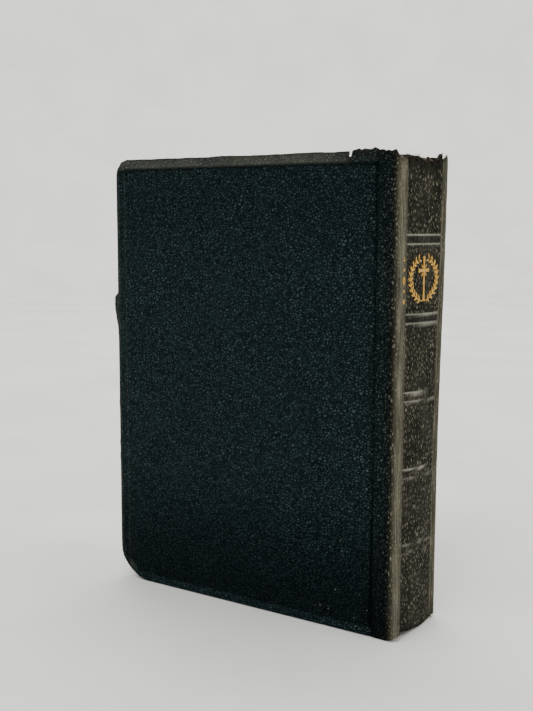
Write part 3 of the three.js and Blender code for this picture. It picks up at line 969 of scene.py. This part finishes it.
def closed_sheet(builder, path, across, thick, fore_x, low, high, rows, shade, radius, margins, aged,
                 shift):
    """A sheet over a path in plan, with unit vectors across it and rounded corners near fore_x.

    It darkens by aged within the margins of its fore edge and of its ends. The pattern of its second face
    is shifted from that of the first."""
    z_low, z_high = leaf_span(path[:, 0], fore_x, low, high, radius)
    z = z_low[:, None] + (z_high - z_low)[:, None] * np.linspace(0, 1, rows)
    count = len(path)
    index = np.arange(count * rows).reshape(count, rows)
    other = index + count * rows
    layers = []
    for sign in (1, -1):
        face = path + across * thick / 2 * sign
        layers.append(np.stack([np.repeat(face[:, :1], rows, 1), np.repeat(face[:, 1:], rows, 1), z], -1))
    faces = grid_faces(index) + grid_faces(other[::-1])
    rims = [(other[:, 0], index[:, 0]), (index[:, -1], other[:, -1]), (index[0], other[0]),
            (other[-1], index[-1])]
    for rim in rims:
        faces += grid_faces(np.stack(rim))
    points = np.concatenate([layer.reshape(-1, 3) for layer in layers])
    fore_margin, end_margin = margins
    edge = smooth((fore_margin - (fore_x - points[:, 0])) / fore_margin)
    edge = np.maximum(edge, smooth((low + end_margin - points[:, 2]) / end_margin))
    edge = np.maximum(edge, smooth((points[:, 2] - high + end_margin) / end_margin))
    length = np.concatenate([[0], np.cumsum(np.hypot(*np.diff(path, axis=0).T))])
    flat = np.stack([np.repeat(length[:, None], rows, 1), z], -1).reshape(-1, 2)
    builder.add(points.tolist(), faces, np.concatenate([flat, flat + shift]).tolist(),
                shade=shade, edge=aged * edge)


def folded_sheet(builder, path, across, thick, fore_x, low, high, rows, shade):
    """A sheet of page paper folded round a path in plan: its middle line and unit vectors across it."""
    closed_sheet(builder, np.asarray(path, float), np.asarray(across, float), thick, fore_x, low, high, rows,
                 shade, PAGE_CORNER, (4.5, 3.5), 0.75, [37, 11])


def plan_sheet(builder, path, thick, fore_x, low, high, rows, shade, radius):
    """A sheet over a path in plan, with its height cut to rounded corners near fore_x."""
    path = np.asarray(path, float)
    step = np.gradient(path, axis=0)
    step /= np.hypot(*step.T)[:, None]
    across = np.stack([-step[:, 1], step[:, 0]], 1)
    closed_sheet(builder, path, across, thick, fore_x, low, high, rows, shade, radius, (5, 4), 0.8, [0, 0])


def section_piece(side_name, number, rng):
    """A folded section of pages: thin sheets nested round one fold, a little uneven at the edges."""
    node = f"section_{side_name}_{number:02d}"
    lo, hi = node_box(node)
    middle = (lo.y + hi.y) / 2
    half = (hi.y - lo.y) / 2
    sheets = 4
    pitch = (half + 0.035) / sheets
    thick = pitch * 0.86
    builder = Builder()
    for k in range(sheets):
        offset = pitch * (k + 0.5)
        fore_x = hi.x - rng.uniform(0.0, 0.35)
        low = lo.z + rng.uniform(0.0, 0.16)
        high = hi.z - rng.uniform(0.0, 0.16)
        fold_x = lo.x + pitch * sheets
        turn = np.radians(np.linspace(90, 270, 7))
        stations = np.concatenate([[fold_x + 3, fold_x + 20, fold_x + 70], corner_stations(fore_x)])
        leaf_a = [(x, middle + offset) for x in stations[::-1]]
        bend = [(fold_x + offset * math.cos(t), middle + offset * math.sin(t)) for t in turn]
        leaf_b = [(x, middle - offset) for x in stations]
        across = [(0, 1)] * len(leaf_a) + [(math.cos(t), math.sin(t)) for t in turn] + [(0, -1)] * len(leaf_b)
        folded_sheet(builder, leaf_a + bend + leaf_b, across, thick, fore_x, low, high, 4,
                     rng.uniform(0.0, 1.0) ** 2)
    piece = builder.piece(f"pages_{side_name}_{number:02d}", PAGE, "page_paper")
    sharpen(piece, 40)
    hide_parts(node)
    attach(piece, f"{side_name}_block")


def single_leaf(name, y, thick, shade, fore_trim=0.0):
    lo, hi = node_box("centre_leaf_2")
    fore_x = hi.x - fore_trim
    stations = np.concatenate([[lo.x, lo.x + 2, lo.x + 12, lo.x + 40, lo.x + 85], corner_stations(fore_x)])
    builder = Builder()
    folded_sheet(builder, [(x, y) for x in stations], [(0, 1)] * len(stations), thick, fore_x,
                 lo.z + 0.05, hi.z - 0.05, 6, shade)
    piece = builder.piece(name, PAGE, "page_paper")
    sharpen(piece, 40)
    return piece


def centre_leaves():
    """The leaves that fan where the book opens: three on their own joints, and thinner ones between them."""
    pitch = node_box("centre_leaf_3")[0].y - node_box("centre_leaf_2")[0].y
    for number in (1, 2, 3):
        lo, hi = node_box(f"centre_leaf_{number}")
        y = (lo.y + hi.y) / 2
        piece = single_leaf(f"open_leaf_{number}", y, 0.085, 0.1 * number)
        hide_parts(f"centre_leaf_{number}")
        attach(piece, f"centre_leaf_{number}")
    # Thinner leaves, each at a listed place between them.
    shares = [0.06, 0.14, 0.36, 0.44, 0.60, 0.68, 0.88, 0.95]
    places = [1.32, 1.16, 0.60, 0.40, -0.40, -0.60, -1.16, -1.32]
    for number, (share, place) in enumerate(zip(shares, places), 1):
        y = place * pitch
        piece = single_leaf(f"fanned_leaf_{number}", y, 0.05, 0.07 * number, 0.12 * (number % 3))
        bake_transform(piece)


# ---------------------------------------------------------------- endpapers and boards

def endpaper(name, side):
    """The pastedown and the free endpaper: one sheet, folded in the joint."""
    fly_lo, fly_hi = node_box(f"{name}_flyleaf")
    fly_u = min(abs(fly_lo.y), abs(fly_hi.y)) + 0.10
    paste_lo, paste_hi = node_box(f"{name}_pastedown")
    paste_u = min(abs(paste_lo.y), abs(paste_hi.y)) + 0.13
    joint_x = HINGE_X + 1.1
    fly_fore = fly_hi.x - 0.1
    paste_fore = FORE_X - 4.5
    near_joint = [joint_x + 0.8, joint_x + 3, joint_x + 30]
    fly_x = np.concatenate([corner_stations(fly_fore)[::-1], [fly_fore - 40], near_joint[::-1]])
    paste_x = np.concatenate([near_joint, [paste_fore - 40], corner_stations(paste_fore, 4.0)])
    wall_u = np.linspace(fly_u, paste_u, 17)
    wall = [(joint_x + 0.25 * (1 - math.sin(math.pi * k / 16)), u) for k, u in enumerate(wall_u)]
    builder = Builder()
    thin = 0.10
    plan_sheet(builder, [(x, side * fly_u) for x in fly_x] + [(x, side * u) for x, u in wall], thin,
               fly_fore, fly_lo.z + 0.1, fly_hi.z - 0.1, 8, 0.15, PAGE_CORNER)
    plan_sheet(builder, [(x, side * u) for x, u in wall[-1:]] + [(x, side * paste_u) for x in paste_x], thin,
               paste_fore, paste_lo.z + 1.5, paste_hi.z - 1.5, 8, 0.25, 4.0)
    piece = builder.piece(f"{name}_endpaper", ENDPAPER, "endpaper")
    sharpen(piece, 40)
    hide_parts(f"{name}_flyleaf", f"{name}_pastedown")
    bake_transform(piece)

    # The strip that joins the free endpaper to the pages, under the gauze.
    fold_lo, fold_hi = node_box(f"endpaper_fold_{name}")
    strip_u = (abs(fold_lo.y) + abs(fold_hi.y)) / 2
    xs = np.concatenate([[fold_lo.x, fold_lo.x + 3], np.linspace(HINGE_X - 1.0, joint_x + 0.8, 16)])
    us = strip_u + (fly_u - strip_u) * smooth((xs - HINGE_X + 2.5) / 2.5)
    builder = Builder()
    plan_sheet(builder, [(x, side * u) for x, u in zip(xs, us)], thin, NO_FORE_EDGE, fold_lo.z + 0.2,
               fold_hi.z - 0.2, 6, 0.3, 1.0)
    strip = builder.piece(f"{name}_endpaper_hinge", ENDPAPER, "endpaper")
    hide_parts(f"endpaper_fold_{name}")
    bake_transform(strip)


def board(name, side):
    """The thin card inside a cover, hidden by the leather and the endpaper."""
    lo, hi = node_box(f"{name}_board")
    u_out, u_in = COVER_U - 0.95, COVER_U - 1.78
    xs = np.concatenate([[HINGE_X + 3.6, HINGE_X + 40, hi.x - 50], corner_stations(FORE_X - 1.3, 9.0)])
    builder = Builder()
    plan_sheet(builder, [(x, side * (u_out + u_in) / 2) for x in xs], u_out - u_in, FORE_X - 1.3,
               lo.z + 1.0, hi.z - 1.0, 5, 0.2, 9.0)
    piece = builder.piece(f"{name}_cover_card", CARD, "card")
    bevel = piece.modifiers.new("softened", "BEVEL")
    bevel.width = 0.15 * MM
    bevel.segments = 2
    bevel.limit_method = "ANGLE"
    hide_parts(f"{name}_board")
    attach(piece, f"{name}_cover")


# ---------------------------------------------------------------- layers of the spine

def halves(stem):
    """The two CAD nodes of a layer that is cut along the middle of the spine."""
    return [f"{stem}_back", f"{stem}_front"]


def spine_layer(name, material, slot, depth, thick, half_width, low, high, nodes, wing_u=None):
    """A strip glued along the folds, in finer steps at the middle of the spine.

    With wing_u it is a sheet of cloth that also laps onto the sides of the pages."""
    near = np.arange(0.1, SPINE_BEND + 0.25, 0.2)
    half = np.concatenate([near, np.linspace(SPINE_BEND + 0.9, half_width, 12)])
    u = np.concatenate([-half[::-1], half])
    bulge = 1.2 * (u / (COVER_U - 3)) ** 2
    path = [(SPINE_X + depth + thick / 2 + b, v) for b, v in zip(bulge, u)]
    if wing_u is not None:
        stations = np.linspace(path[-1][0] + 0.4, HINGE_X - 0.4, 7)
        path = [(x, -wing_u) for x in stations[::-1]] + path + [(x, wing_u) for x in stations]
    builder = Builder()
    plan_sheet(builder, path, thick, NO_FORE_EDGE, low, high, 12, 0.2, 1.0)
    piece = builder.piece(name, material, slot)
    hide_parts(*nodes)
    bend_at_spine(piece)


def bend_at_spine(piece):
    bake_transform(piece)


def end_band(name, nodes):
    """A headband or tailband: thread worked over a cord, a twist for every wrap."""
    lo, hi = node_box(nodes[0])
    centre_z = (lo.z + hi.z) / 2
    centre_x = (lo.x + hi.x) / 2
    radius = (hi.z - lo.z) / 2
    half = max(abs(lo.y), abs(hi.y))
    ys = np.arange(-half, half + 0.05, 0.13)
    sides = 14
    builder = Builder()
    points, flat = [], []
    for y in ys:
        wrap = radius * (1 - 0.10 * (0.5 + 0.5 * math.cos(2 * math.pi * y / 0.78)))
        wrap *= math.sqrt(max(0.12, 1 - (abs(y) / half) ** 14))
        for s in range(sides):
            a = 2 * math.pi * s / sides
            points.append((centre_x + wrap * math.cos(a), y, centre_z + wrap * math.sin(a)))
            flat.append((y, radius * a))
    builder.add(points, tube_faces(len(ys), sides), flat)
    piece = builder.piece(name, BAND, "band_cloth")
    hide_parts(*nodes)
    bend_at_spine(piece)


# ---------------------------------------------------------------- camera, stage and lights

def make_camera():
    """The camera is placed from the lower corner where the back cover meets the spine."""
    yaw, pitch, roll = math.radians(214.0), math.radians(7.37), math.radians(0.14)
    corner = Vector((SPINE_X, COVER_U, 0.0))
    offset = Vector((-0.932, 1.858, 0.863)) * TOP_Z
    data = bpy.data.cameras.new("camera")
    data.sensor_width = 36.0
    data.lens = 53.04
    data.clip_start = 0.01
    data.clip_end = 50.0
    camera = bpy.data.objects.new("camera", data)
    camera.location = (corner + offset) * MM
    turn = Matrix.Rotation(yaw, 4, "Z") @ Matrix.Rotation(math.radians(90) - pitch, 4, "X")
    camera.rotation_euler = (turn @ Matrix.Rotation(roll, 4, "Z")).to_euler()
    bpy.context.scene.collection.objects.link(camera)
    bpy.context.scene.camera = camera


def area_light(name, place, target, size, power, colour):
    data = bpy.data.lights.new(name, "AREA")
    data.shape = "RECTANGLE"
    data.size, data.size_y = size
    data.energy = power
    data.color = colour
    light = bpy.data.objects.new(name, data)
    light.location = place
    light.rotation_euler = (Vector(target) - Vector(place)).to_track_quat("-Z", "Y").to_euler()
    bpy.context.scene.collection.objects.link(light)


def make_stage():
    """A pale floor that sweeps up into a wall all round, with soft lights from above."""
    floor_radius, cove, wall_top = 1.9, 0.7, 3.0
    rings = [(0.4, 0.0), (0.9, 0.0), (1.4, 0.0), (floor_radius, 0.0)]
    for step in range(1, 13):
        angle = math.radians(7.5 * step)
        rings.append((floor_radius + cove * math.sin(angle), cove * (1 - math.cos(angle))))
    rings.append((floor_radius + cove, wall_top))
    spokes = 96
    work = bmesh.new()
    centre = work.verts.new((0, 0, -0.0002))
    previous = None
    for radius, height in rings:
        current = []
        for k in range(spokes):
            a = 2 * math.pi * k / spokes
            current.append(work.verts.new((radius * math.cos(a), radius * math.sin(a), height - 0.0002)))
        for k in range(spokes):
            after = (k + 1) % spokes
            if previous is None:
                work.faces.new((centre, current[k], current[after]))
            else:
                work.faces.new((previous[k], current[k], current[after], previous[after]))
        previous = current
    mesh = bpy.data.meshes.new("floor")
    work.to_mesh(mesh)
    work.free()
    for polygon in mesh.polygons:
        polygon.use_smooth = True
    mesh.materials.append(floor_material())
    floor = bpy.data.objects.new("floor", mesh)
    bpy.context.scene.collection.objects.link(floor)

    world = bpy.data.worlds.new("studio")
    world.use_nodes = True
    background = world.node_tree.nodes["Background"]
    background.inputs["Color"].default_value = (0.90, 0.95, 1.0, 1.0)
    background.inputs["Strength"].default_value = 0.8
    bpy.context.scene.world = world
    area_light("key", (-0.1, 1.0, 1.9), (0, 0, 0.1), (0.9, 0.9), 26.0, (1.0, 0.99, 0.97))
    area_light("side", (-1.4, -0.2, 1.2), (0, 0, 0.1), (0.8, 1.2), 11.0, (1.0, 0.98, 0.92))
    area_light("wall", (0.5, -0.8, 2.4), (1.3, -2.2, 0.6), (1.2, 1.2), 60.0, (1.0, 1.0, 1.0))


# ---------------------------------------------------------------- the book

make_camera()
make_stage()

for name, side in SIDES.items():
    skin = cover_skin(f"{name}_cover_skin", side)
    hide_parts(f"{name}_cover_leather")
    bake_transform(skin)
    endpaper(name, side)
    board(name, side)

spine = spine_skin()
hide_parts("spine_leather_back", "spine_leather_front")
bend_at_spine(spine)
bend_at_spine(gold_ornament())
bend_at_spine(frayed_edges())

gauze_u = abs(node_box("mull_front")[0].y) - 0.1
spine_layer("spine_stiffener", CARD, "card", depth=1.05, thick=0.5, half_width=15.0,
            low=FOOT_Z, high=HEAD_Z, nodes=halves("spine_card"))
spine_layer("spine_paper_lining", KRAFT, "kraft_paper", depth=1.75, thick=0.25, half_width=16.0,
            low=FOOT_Z + 2, high=HEAD_Z - 4, nodes=halves("spine_lining"))
spine_layer("spine_gauze", GAUZE, "gauze", depth=2.15, thick=0.2, half_width=16.4,
            low=FOOT_Z + 8, high=HEAD_Z - 8, nodes=halves("mull"), wing_u=gauze_u)
for number in (1, 2, 3):
    lo, hi = node_box(f"sewing_tape_{number}_back")
    spine_layer(f"sewing_tape_{number}", TAPE, "tape_cloth", depth=2.55, thick=0.35, half_width=16.0,
                low=lo.z, high=hi.z, nodes=halves(f"sewing_tape_{number}"))
for band in ("headband", "tailband"):
    end_band(band, halves(band))

page_rng = np.random.default_rng(7)
for side_name in SIDES:
    for number in range(1, SECTIONS + 1):
        section_piece(side_name, number, page_rng)
centre_leaves()
